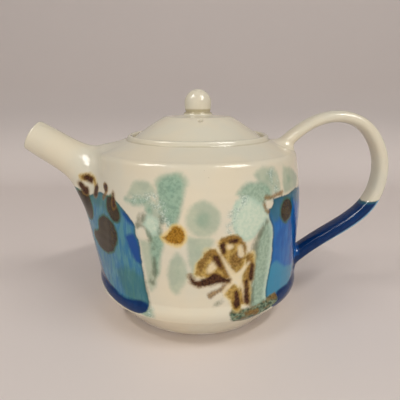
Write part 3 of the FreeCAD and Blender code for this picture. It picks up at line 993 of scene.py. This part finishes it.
@dataclass
class ThrownBody:
    """Thrown wall, shoulder, lip and foot."""

    radius: float = 66.2
    shoulder_height: float = 107.0
    wall: float = 4.0
    foot_radius: float = 47.0
    foot_width: float = 6.0
    foot_height: float = 3.0
    floor_level: float = 7.0
    ridge_height: float = 23.4
    ridge_half_height: float = 4.6
    ridge_proud: float = 0.1
    ridge_step: float = 1.5
    crease_inset: float = 1.3
    wall_shape: Tuple[Pair, ...] = ((0.421, 0.988), (0.579, 1.0), (0.710, 1.0), (0.860, 0.979))
    shoulder_share: float = 0.952
    corner_height: float = 3.0
    corner_width: float = 3.4
    corner_rise: float = 0.9
    lip_inner: float = 41.9
    lip_thickness: float = 3.1
    lip_top: float = 116.9
    lip_foot: float = 0.4
    seat_level: float = 112.9
    throat_radius: float = 34.5
    ceiling: float = 109.2
    floor_share: float = 0.6
    mouth_room: float = 4.0
    ring_depth: float = 0.035
    ring_turn: float = 0.9
    ring_wander: float = 1.3
    ring_wander_turn: float = 0.21
    rings_from: float = 29.0
    rings_to: float = 106.0
    rings_fade: float = 6.0

    def barrel(self, inset: float, bottom: Pair, top: Pair) -> np.ndarray:
        """Barrel wall curve, moved in by inset."""
        middle = [(self.radius * r - inset, self.shoulder_height * h) for h, r in self.wall_shape]
        return through([bottom] + middle + [top], 120)

    def outside(self) -> Distance:
        """Distance to the filled outside, with a recess inside the foot ring."""
        inner_foot = self.foot_radius - self.foot_width
        low = self.ridge_height - self.ridge_half_height
        top = self.ridge_height + self.ridge_half_height
        crease = (self.radius - self.crease_inset, low)
        ridge = (self.radius + self.ridge_proud, self.ridge_height)
        wall_foot = (self.radius - self.ridge_step, top)
        edge = self.radius * self.shoulder_share
        wall_head = (edge, self.shoulder_height - self.corner_height)
        corner = (edge - self.corner_width, self.shoulder_height + self.corner_rise)
        bead = self.lip_thickness / 2
        lip_outer = (self.lip_inner + self.lip_thickness, self.lip_top - bead)
        lip_base = (lip_outer[0] + self.lip_foot, lip_outer[1] - self.lip_thickness * self.lip_foot)
        pull = ((corner[0] + lip_base[0]) / 2, (corner[1] + lip_base[1]) / 2 - self.lip_foot)
        return turned([
            (0, self.foot_height),
            bend((inner_foot - 1, self.foot_height), (inner_foot, self.foot_height),
                 (inner_foot, self.foot_height - 1), 6),
            bend((inner_foot, 1), (inner_foot, 0), (inner_foot + 1, 0), 6),
            bend((self.foot_radius - 0.6, 0), (self.foot_radius, 0),
                 (self.foot_radius + 0.6, 0.6), 6),
            bend((self.foot_radius + 0.6, 0.6),
                 ((self.foot_radius + crease[0]) / 2, low / 2 + self.ridge_proud), crease, 30),
            bend(crease, (ridge[0], (low + self.ridge_height) / 2), ridge),
            bend(ridge, (ridge[0], (self.ridge_height + top) / 2), wall_foot),
            self.barrel(0, wall_foot, wall_head),
            bend(wall_head, (edge - self.lip_foot, self.shoulder_height + self.lip_foot), corner),
            bend(corner, pull, lip_base, 20),
            half_round(lip_outer, (self.lip_inner, lip_outer[1]), 1),
            (0, lip_outer[1]),
        ])

    def inside(self) -> Distance:
        """Distance to the room for tea, the throat and the lid seat, open upwards."""
        top = self.ridge_height + self.ridge_half_height
        edge = self.radius * self.shoulder_share
        low = (self.radius - self.ridge_step - self.wall, top)
        high = (edge - self.wall, self.shoulder_height - self.corner_height - self.wall / 2)
        eave = (high[0] - self.wall, self.shoulder_height - self.wall / 4)
        floor_edge = (self.radius * self.floor_share, self.floor_level)
        pull = (low[0] - 1.2 * self.ridge_half_height, self.floor_level)
        rounding = 1.0
        throat = self.throat_radius
        return turned([
            (0, self.floor_level),
            bend(floor_edge, pull, low, 30),
            self.barrel(self.wall, low, high),
            bend(high, (high[0], eave[1]), eave, 20),
            bend((throat + rounding, self.ceiling), (throat, self.ceiling),
                 (throat, self.ceiling + rounding), 6),
            bend((throat, self.seat_level - rounding), (throat, self.seat_level),
                 (throat + rounding, self.seat_level), 6),
            bend((self.lip_inner - rounding, self.seat_level), (self.lip_inner, self.seat_level),
                 (self.lip_inner, self.seat_level + rounding), 6),
            (self.lip_inner, self.lip_top + self.mouth_room),
            (0, self.lip_top + self.mouth_room),
        ])

    def rings(self, x: np.ndarray, y: np.ndarray, z: np.ndarray) -> np.ndarray:
        """Spiral left by the thrower's fingers, in millimetres inwards."""
        turn = np.arctan2(y, x)
        wander = self.ring_wander * np.sin(z * self.ring_wander_turn)
        wave = 1 + np.sin(z * self.ring_turn + turn + wander)
        rising = np.clip((z - self.rings_from) / self.rings_fade, 0, 1)
        falling = np.clip((self.rings_to - z) / self.rings_fade, 0, 1)
        return self.ring_depth * wave * rising * falling


@dataclass
class Spout:
    """Thrown spout that flares into the wall."""

    mouth_x: float = -106.8
    mouth_z: float = 116.3
    angle: float = 31.6
    run: float = 86.0
    mouth_radius: float = 10.2
    base_radius: float = 56.8
    mouth_wall: float = 3.0
    mouth_rounding: float = 1.2
    trim: float = -49.65
    join: float = 6.0
    overrun: float = 1.25
    late_flare: float = 1.6
    late_narrowing: float = 0.5
    shape: Tuple[Tuple[float, float, float], ...] = (
        (0.0, 0.0, 1.0), (0.16, 0.015, 1.0), (0.31, 0.030, 1.0), (0.42, 0.081, 1.0),
        (0.51, 0.182, 0.97), (0.63, 0.348, 0.90), (0.77, 0.620, 0.80), (0.93, 0.888, 0.70),
        (1.0, 1.0, 0.66),
    )
    places: np.ndarray = field(init=False)
    heights: np.ndarray = field(init=False)
    ovals: np.ndarray = field(init=False)

    def __post_init__(self) -> None:
        """Charts the half height and the oval along the spout."""
        rows = np.array(self.shape)
        self.places = np.linspace(0, self.run * self.overrun, 300)
        read = cubic(rows[:, 0], rows[:, 1:], np.minimum(self.places / self.run, 1.0))
        beyond = np.maximum(self.places / self.run - 1, 0)
        flare = read[:, 0] + beyond * self.late_flare
        self.heights = self.mouth_radius + (self.base_radius - self.mouth_radius) * flare
        self.ovals = read[:, 1] - beyond * self.late_narrowing

    def along(self, x: np.ndarray, z: np.ndarray) -> Tuple[np.ndarray, np.ndarray]:
        """Distance along the spout from its mouth, and across it in its plane."""
        turn = math.radians(self.angle)
        a, b = x - self.mouth_x, z - self.mouth_z
        return (
            a * math.cos(turn) - b * math.sin(turn),
            a * math.sin(turn) + b * math.cos(turn),
        )

    def tube(self, thinner: float, x: np.ndarray, y: np.ndarray, z: np.ndarray) -> np.ndarray:
        """Distance to the flared tube, made thinner all round."""
        s, h = self.along(x, z)
        tall = np.interp(s, self.places, self.heights) - thinner
        wide = tall * np.interp(s, self.places, self.ovals)
        growth = np.interp(s, self.places, np.gradient(self.heights, self.places))
        share = np.maximum(np.hypot(h / tall, y / wide), 1e-4)
        lean = share * growth / tall
        steep = np.sqrt((h / tall**2) ** 2 + (y / wide**2) ** 2 + (lean * share) ** 2) / share
        return (share - 1) / np.maximum(steep, 1e-4)

    def outside(self, x: np.ndarray, y: np.ndarray, z: np.ndarray) -> np.ndarray:
        """Distance to the filled spout, cut off inside the pot."""
        s, _ = self.along(x, z)
        tube = self.tube(0, x, y, z)
        return np.maximum(soft_cut(tube, -s, self.mouth_rounding), x - self.trim)


@dataclass
class Handle:
    """Pulled strap handle in one loop."""

    wall_radius: float = 66.2
    reach: float = 53.6
    top: float = 128.0
    squareness: float = 2.5
    join: float = 5.0
    blue_below: float = 73.0
    blue_slant: float = 0.15
    blue_slant_from: float = 113.0
    switch_half: float = 3.4
    join_reach: float = 3.0
    wall_paint_fade: float = 5.0
    # Navy on the handle's lower run, partly painted shade of the strap's inner face.
    night_rise: float = 4.0
    night_below: float = 1.5
    # Pale line on the strap's outer edges, partly a painted highlight.
    edge_offset: float = 2.9
    edge_width: float = 0.9
    edge_side: float = 2.4
    shape: Tuple[Tuple[float, float, float, float], ...] = (
        (-0.36, 0.795, 8.5, 17.0), (-0.19, 0.865, 8.0, 16.5), (-0.026, 0.925, 7.2, 16.0),
        (0.175, 0.976, 7.2, 15.6), (0.425, 0.999, 7.4, 15.4), (0.713, 0.966, 7.8, 15.2),
        (0.905, 0.879, 8.3, 15.0), (0.996, 0.767, 8.6, 14.8), (0.990, 0.656, 8.8, 14.8),
        (0.894, 0.552, 9.0, 14.8), (0.659, 0.454, 9.0, 14.8), (0.369, 0.373, 9.0, 14.8),
        (0.120, 0.298, 9.0, 15.0), (-0.065, 0.235, 9.4, 15.6), (-0.22, 0.183, 9.8, 16.0),
    )
    loop_middle: Pair = (92.0, 88.0)
    gap: Chart = field(init=False)
    thick: Chart = field(init=False)
    wide: Chart = field(init=False)
    orbit: Chart = field(init=False)

    def __post_init__(self) -> None:
        """Charts the distance to the handle's middle line and its section there."""
        rows = [
            (self.wall_radius + self.reach * x, self.top * z, thick, wide)
            for x, z, thick, wide in self.shape
        ]
        curve = through(rows, 420)
        low, step = np.array([34.0, 0.0]), 0.5
        x, z = Chart.lines((34.0, 0.0), (134.0, 146.0), step)
        best = np.full(x.shape, np.inf)
        nearest = np.zeros(x.shape, int)
        for index, (a, b) in enumerate(curve[:, :2]):
            away = np.hypot(x - a, z - b)
            closer = away < best
            best[closer] = away[closer]
            nearest[closer] = index
        self.gap = Chart(low, step, best)
        self.thick = Chart(low, step, curve[nearest, 2] / 2)
        self.wide = Chart(low, step, curve[nearest, 3] / 2)
        orbit = np.hypot(curve[:, 0] - self.loop_middle[0], curve[:, 1] - self.loop_middle[1])
        self.orbit = Chart(low, step, orbit[nearest])

    def outside(self, x: np.ndarray, y: np.ndarray, z: np.ndarray) -> np.ndarray:
        """Distance to the strap."""
        power = self.squareness
        gap = self.gap.read(x, z)
        thick, wide = self.thick.read(x, z), self.wide.read(x, z)
        a, b = gap / thick, np.abs(y) / wide
        share = np.maximum((a**power + b**power) ** (1 / power), 1e-3)
        lean = np.hypot((a / share) ** (power - 1) / thick, (b / share) ** (power - 1) / wide)
        return (share - 1) / np.maximum(lean, 1e-3) + self.gap.overshoot(x, z)

    def paint(self, points: np.ndarray, layers: Dict[Layer, np.ndarray]) -> None:
        """Blue glaze on the lower run, darkened to navy partly as painted shade of the strap's
        inner face, and paler along the strap's sides, partly thin glaze and partly a painted
        highlight.
        """
        x, y, z = points.T
        beyond = np.maximum(np.hypot(x, y) - self.wall_radius - self.join_reach, 0)
        for values in layers.values():
            values -= self.wall_paint_fade * beyond
        level = self.blue_below + self.blue_slant * (x - self.blue_slant_from) - z
        layers[Layer.BLUE] = np.maximum(layers[Layer.BLUE], level)
        # Navy over the lower run: dark glaze, partly painted shade of the strap's inner face.
        night = np.minimum(self.night_rise * beyond, level - self.night_below)
        layers[Layer.NAVY] = np.maximum(layers[Layer.NAVY], night)
        switch = np.where(beyond > 0, self.switch_half - np.abs(level), NOWHERE)
        layers[Layer.SEA] = np.maximum(layers[Layer.SEA], switch)
        # Pale line along the strap's outer edges: partly glaze thinned over the edge, partly a
        # painted highlight.
        away = np.hypot(x - self.loop_middle[0], z - self.loop_middle[1])
        offset = away - self.orbit.read(x, z)
        side = np.abs(y) - (self.wide.read(x, z) - self.edge_side)
        line = self.edge_width - np.abs(offset - self.edge_offset)
        layers[Layer.EDGE] = np.where(beyond > 0, np.minimum(side, line), NOWHERE)


@dataclass
class Pot:
    """The fired pot: body, foot, spout, strainer and handle."""

    body: ThrownBody = field(default_factory=ThrownBody)
    spout: Spout = field(default_factory=Spout)
    handle: Handle = field(default_factory=Handle)
    strainer_radius: float = 17.0
    strainer_height: float = 80.25
    bare_below: float = 2.9
    # Pooled glaze and painted shade in the crease under the lip.
    lip_pool_and_shade: float = 0.9
    lip_pool_place: Pair = (0.6, -2.8)
    handle_paint: float = 1.5
    room_low: Tuple[float, float, float] = (-117.0, -69.5, -2.2)
    room_high: Tuple[float, float, float] = (130.0, 69.5, 135.5)
    cell: float = 0.9
    quick_cell: float = 1.98

    def build(self) -> List[bpy.types.Object]:
        """Carves the pot and splits its skin into the frame's pieces.

        Returns:
            The finished pieces.
        """
        outside = self.body.outside()
        inside = self.body.inside()
        owners: Dict[str, Distance] = {
            "body": outside,
            "spout": self.spout.outside,
            "handle": self.handle.outside,
        }

        def solid(x: np.ndarray, y: np.ndarray, z: np.ndarray) -> np.ndarray:
            """Distance to the whole pot."""
            body = outside(x, y, z)
            whole = body + self.body.rings(x, y, z)
            whole = soft_union(whole, self.spout.outside(x, y, z), self.spout.join)
            whole = soft_union(whole, self.handle.outside(x, y, z), self.handle.join)
            bore = np.maximum(self.spout.tube(self.spout.mouth_wall, x, y, z), -body)
            bore = np.where(x < 0, bore, 40.0)
            whole = soft_cut(whole, -bore, self.spout.mouth_rounding)
            whole = np.maximum(whole, -inside(x, y, z))
            plug = np.hypot(y, z - self.strainer_height) - self.strainer_radius
            plug = np.maximum(np.maximum(plug, body), x)
            return np.maximum(whole, -plug)

        cell = self.cell
        skin = sculpt(solid, np.array(self.room_low), np.array(self.room_high), cell)
        skin.points[:, 2] = np.maximum(skin.points[:, 2], 0)
        x, y, z = skin.points.T
        depth = {name: owner(x, y, z) for name, owner in owners.items()}
        shown = depth["body"] > OUTER_SKIN
        layers = Painter(panels() + green_dabs() + flower()).layers(skin.points, shown)
        layers[Layer.BARE] = self.bare_below - z
        # Darker band in the crease under the lip: partly pooled glaze, partly painted shade.
        out, up = self.lip_pool_place
        pool_radius = self.body.lip_inner + self.body.lip_thickness + out
        under_lip = np.hypot(np.hypot(x, y) - pool_radius, z - self.body.lip_top - up)
        layers[Layer.POOL_AND_SHADE] = self.lip_pool_and_shade - under_lip
        on_handle = (depth["handle"] < self.handle_paint) & shown
        painted = {layer: values[on_handle] for layer, values in layers.items()}
        self.handle.paint(skin.points[on_handle], painted)
        for layer, values in painted.items():
            layers[layer][on_handle] = values
        middle = skin.points[skin.faces].mean(1)
        at = {name: owner(*middle.T) for name, owner in owners.items()}
        loose = at["body"] > OUTER_SKIN
        is_spout = loose & (at["spout"] < at["body"]) & (middle[:, 0] < 0)
        is_handle = loose & (at["handle"] < at["body"]) & (middle[:, 0] > 0)
        thrown = ~(is_spout | is_handle)
        level = middle[:, 2]
        foot, floor = self.body.foot_height, self.body.floor_level
        top = self.body.ridge_height + self.body.ridge_half_height
        head = self.body.shoulder_height - self.body.corner_height
        cuts: List[Tuple[str, str, str, np.ndarray]] = [
            ("clay_foot", "foot_ring", "bare_porcelain", thrown & (level < foot)),
            ("glazed_floor", "pot_floor", "cream_glaze",
             thrown & (level >= foot) & (level <= floor + 0.5)),
            ("glazed_base", "pot_base", "splashed_glaze",
             thrown & (level > floor + 0.5) & (level <= top)),
            ("glazed_wall", "pot_wall", "splashed_glaze", thrown & (level > top) & (level <= head)),
            ("glazed_shoulder", "pot_shoulder", "cream_glaze", thrown & (level > head)),
            ("glazed_spout", "spout", "splashed_glaze", is_spout),
            ("glazed_handle", "handle", "handle_glaze", is_handle),
        ]
        finish = SplashedGlaze().material()
        made = []
        for name, node, slot, chosen in cuts:
            part, kept = skin.part(chosen)
            piece = part.piece(name, {layer: values[kept] for layer, values in layers.items()})
            piece.data.materials.append(finish)
            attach(piece, "pot")
            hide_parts(node)
            made.append(piece)
        return made

    def dress_strainer(self, finish: bpy.types.Material) -> None:
        """Gives the pierced strainer its glaze."""
        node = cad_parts["strainer"]
        node.data.materials.clear()
        node.data.materials.append(finish)


@dataclass
class Lid:
    """Domed lid with its ring, knob and steam hole."""

    seat_level: float = 112.9
    radius: float = 41.0
    rim_height: float = 2.7
    rim_rounding: float = 1.2
    top: float = 128.2
    thickness: float = 3.8
    plateau_radius: float = 20.5
    plateau_rounding: float = 3.0
    crown: float = 0.8
    vent_radius: float = 1.4
    vent_place: Pair = (1.5, -23.0)
    flange_radius: float = 33.6
    flange_inner: float = 30.4
    flange_depth: float = 10.0
    collar_radius: float = 9.0
    collar_height: float = 1.4
    neck_radius: float = 7.7
    neck_height: float = 0.8
    ball_radius: float = 8.45
    ball_rise: float = 7.2
    # Pooled glaze and painted shade in the knob's groove.
    groove_pool_and_shade: float = 2.4
    cell: float = 0.6
    quick_cell: float = 1.2
    margin: float = 2.0

    def solid(self) -> Distance:
        """Distance to the lid with its knob and ring."""
        seat, rim_top = self.seat_level, self.seat_level + self.rim_height
        low = seat - self.flange_depth
        bead = (self.flange_radius - self.flange_inner) / 2
        rim = (self.radius - self.rim_rounding, rim_top)
        edge = (self.plateau_radius + self.plateau_rounding / 2,
                self.top - self.plateau_rounding / 4)
        plateau = (self.plateau_radius - self.plateau_rounding, self.top)
        base = self.top + self.crown
        collar_top = base + self.collar_height
        equator = base + self.ball_rise
        foot = (self.neck_radius, collar_top + self.neck_height)
        roof = self.top - self.thickness
        angle = np.linspace(0, math.pi / 2, 24)
        ball = np.stack([self.ball_radius * np.cos(angle),
                         equator + self.ball_radius * np.sin(angle)], 1)
        outline = turned([
            (0, roof),
            (self.plateau_radius - self.plateau_rounding, roof),
            bend((self.plateau_radius - self.plateau_rounding, roof),
                 (self.plateau_radius + self.plateau_rounding, roof),
                 (self.flange_inner, rim_top)),
            half_round((self.flange_radius, low + bead), (self.flange_inner, low + bead), -1)[::-1],
            bend((self.flange_radius, seat - 0.6), (self.flange_radius, seat),
                 (self.flange_radius + 0.6, seat), 5),
            bend((self.radius - 0.6, seat), (self.radius, seat), (self.radius, seat + 0.6), 5),
            bend((self.radius, rim_top - self.rim_rounding),
                 (self.radius, rim_top - self.rim_rounding / 4), rim, 8),
            bend(rim, ((rim[0] + edge[0]) / 2, (rim[1] + edge[1]) / 2 + self.crown), edge, 24),
            bend(edge, (self.plateau_radius, self.top), plateau, 10),
            bend((self.collar_radius + 0.8, base - 0.05), (self.collar_radius, base),
                 (self.collar_radius, base + 0.7), 8),
            bend((self.collar_radius, collar_top - 0.7), (self.collar_radius, collar_top - 0.05),
                 (self.neck_radius + 0.2, collar_top + 0.05), 8),
            bend((self.neck_radius + 0.2, collar_top + 0.05),
                 (self.neck_radius - 0.1, foot[1] - 0.4), (foot[0] + 0.2, foot[1]), 8),
            bend((foot[0] + 0.2, foot[1]), (self.ball_radius, (foot[1] + equator) / 2),
                 (self.ball_radius, equator)),
            ball,
        ], 0.3)

        def distance(x: np.ndarray, y: np.ndarray, z: np.ndarray) -> np.ndarray:
            """Distance to the lid with the steam hole through it."""
            hole = np.hypot(x - self.vent_place[0], y - self.vent_place[1]) - self.vent_radius
            return soft_cut(outline(x, y, z), -hole, 0.5)

        return distance

    def build(self, glaze: bpy.types.Material, clay: bpy.types.Material) -> List[bpy.types.Object]:
        """Carves the lid and splits it into dome, ring and knob.

        Args:
            glaze: Finish of the dome and the knob.
            clay: Finish of the ring under the lid.

        Returns:
            The finished pieces.
        """
        cell = self.cell
        reach = self.radius + self.margin
        bottom = self.seat_level - self.flange_depth
        head = self.top + self.crown + self.ball_rise + self.ball_radius
        low = np.array([-reach, -reach, bottom - self.margin])
        high = np.array([reach, reach, head + self.margin])
        skin = sculpt(self.solid(), low, high, cell)
        middle = skin.points[skin.faces].mean(1)
        radius, level = np.hypot(middle[:, 0], middle[:, 1]), middle[:, 2]
        knob = (radius < self.collar_radius + 0.3) & (level > self.top + self.crown - 0.3)
        ring = level < self.seat_level - 0.2
        cuts = [
            ("lid_ball", "lid_knob", "cream_glaze", knob, glaze),
            ("lid_ring", "lid_flange", "bare_porcelain", ring, clay),
            ("lid_dome", "lid", "cream_glaze", ~(knob | ring), glaze),
        ]
        x, y, z = skin.points.T
        # Darker glaze in the knob's groove: partly pooling, partly painted shade.
        groove = np.hypot(np.hypot(x, y) - self.neck_radius,
                          z - self.top - self.crown - self.collar_height - self.neck_height / 2)
        pooled = self.groove_pool_and_shade - groove
        made = []
        for name, node, slot, chosen, finish in cuts:
            part, kept = skin.part(chosen)
            piece = part.piece(name, {Layer.POOL_AND_SHADE: pooled[kept]})
            piece.data.materials.append(finish)
            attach(piece, "lid")
            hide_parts(node)
            made.append(piece)
        return made


# ---------------------------------------------------------------- the stage


@dataclass(frozen=True)
class Lamp:
    """Soft rectangular lamp aimed at the pot, in metres and watts."""

    name: str
    way: Tuple[float, float, float]
    away: float
    size: Pair
    power: float
    lights_matt: bool = True
    lights_gloss: bool = True
    colour: Tuple[float, float, float] = (1.0, 0.975, 0.94)
    aim: Tuple[float, float, float] = (0.0, 0.0, 0.1)

    def hang(self) -> None:
        """Hangs the lamp along its way from the pot."""
        data = bpy.data.lights.new(self.name, "AREA")
        data.shape = "RECTANGLE"
        data.size, data.size_y = self.size
        data.energy = self.power
        data.color = self.colour
        made = bpy.data.objects.new(self.name, data)
        direction = Vector(self.way).normalized()
        made.location = Vector(self.aim) + direction * self.away
        made.rotation_euler = direction.to_track_quat("Z", "Y").to_euler()
        made.visible_diffuse = self.lights_matt
        made.visible_glossy = self.lights_gloss
        bpy.context.scene.collection.objects.link(made)


@dataclass
class Studio:
    """Pale sweep, soft lamps and the camera."""

    floor_tone: Tuple[float, ...] = tone(236, 225, 218)
    wall_tone: Tuple[float, ...] = tone(196, 187, 182)
    bend_start: float = 0.34
    bend_radius: float = 0.16
    wall_top: float = 1.6
    half_width: float = 1.8
    front: float = -1.2
    camera_place: Tuple[float, float, float] = (0.00133, -0.26216, 0.1425)
    camera_pitch: float = 14.96
    lens: float = 36.19
    surround: Tuple[float, ...] = (0.95, 0.94, 0.96, 1)
    surround_strength: float = 0.36
    lamps: Tuple[Lamp, ...] = (
        Lamp("right lamp", (0.42, -0.38, 0.76), 0.95, (0.54, 0.07), 2.3),
        Lamp("left lamp", (-0.44, -0.38, 0.76), 0.95, (0.34, 0.07), 1.45),
        Lamp("front fill", (0.0, -1.0, 0.12), 1.35, (1.6, 0.5), 6.8, lights_gloss=False),
        Lamp("right window", (0.54, -0.42, 0.70), 0.95, (0.4, 0.5), 12.8, lights_matt=False),
        Lamp("left window", (-0.60, -0.22, 0.71), 0.95, (0.2, 0.5), 6.4, lights_matt=False),
    )

    def sweep(self) -> bpy.types.Object:
        """Floor that curves up into a backdrop."""
        angle = np.linspace(0, math.pi / 2, 24)
        rows = [(self.front, 0.0), (-0.2, 0.0), (0.1, 0.0)]
        rows += [(self.bend_start + self.bend_radius * math.sin(a),
                  self.bend_radius * (1 - math.cos(a))) for a in angle]
        rows.append((self.bend_start + self.bend_radius, self.wall_top))
        points = [(side * self.half_width, y, z) for y, z in rows for side in (-1, 1)]
        faces = [(2 * i, 2 * i + 1, 2 * i + 3, 2 * i + 2) for i in range(len(rows) - 1)]
        mesh = bpy.data.meshes.new("sweep")
        mesh.from_pydata(points, [], faces)
        mesh.polygons.foreach_set("use_smooth", np.ones(len(faces), bool))
        made = bpy.data.objects.new("sweep", mesh)
        bpy.context.scene.collection.objects.link(made)
        wiring = Wiring("backdrop paper")
        split = wiring.node("ShaderNodeSeparateXYZ")
        wiring.feed(split.inputs[0], wiring.place)
        rise = wiring.step(split.outputs["Z"], 0.0, 0.12)
        paper = wiring.mix(rise, self.floor_tone, self.wall_tone)
        drift = wiring.math("MULTIPLY", wiring.grain(260.0), 0.12)
        paper = wiring.mix(drift, paper, tone(190, 180, 174))
        wiring.feed(wiring.shader.inputs["Base Color"], paper)
        wiring.shader.inputs["Roughness"].default_value = 0.75
        mesh.materials.append(wiring.material)
        return made

    def build(self) -> None:
        """Sets the stage, the lamps, the soft surround and the camera."""
        self.sweep()
        for lamp in self.lamps:
            lamp.hang()
        world = bpy.data.worlds.new("surround")
        world.use_nodes = True
        surround = world.node_tree.nodes["Background"]
        surround.inputs["Color"].default_value = self.surround
        surround.inputs["Strength"].default_value = self.surround_strength
        bpy.context.scene.world = world
        camera = bpy.data.cameras.new("camera")
        camera.lens = self.lens
        camera.sensor_width = 36
        camera.clip_start = 0.01
        made = bpy.data.objects.new("camera", camera)
        made.location = self.camera_place
        made.rotation_euler = (math.radians(90 - self.camera_pitch), 0, 0)
        bpy.context.scene.collection.objects.link(made)
        bpy.context.scene.camera = made
        bpy.context.scene.view_settings.view_transform = "Standard"


def main() -> None:
    """Builds the pot, the lid and the studio, and reports each piece."""
    logging.basicConfig(level=logging.INFO, format="%(name)s: %(message)s")
    cream = CreamGlaze().material()
    clay = BareClay().material()
    pot = Pot()
    pieces = pot.build()
    pot.dress_strainer(cream)
    pieces += Lid().build(cream, clay)
    for piece in pieces:
        LOG.info("%s: %d faces", piece.name, len(piece.data.polygons))
    Studio().build()


if __name__ == "__main__":
    main()
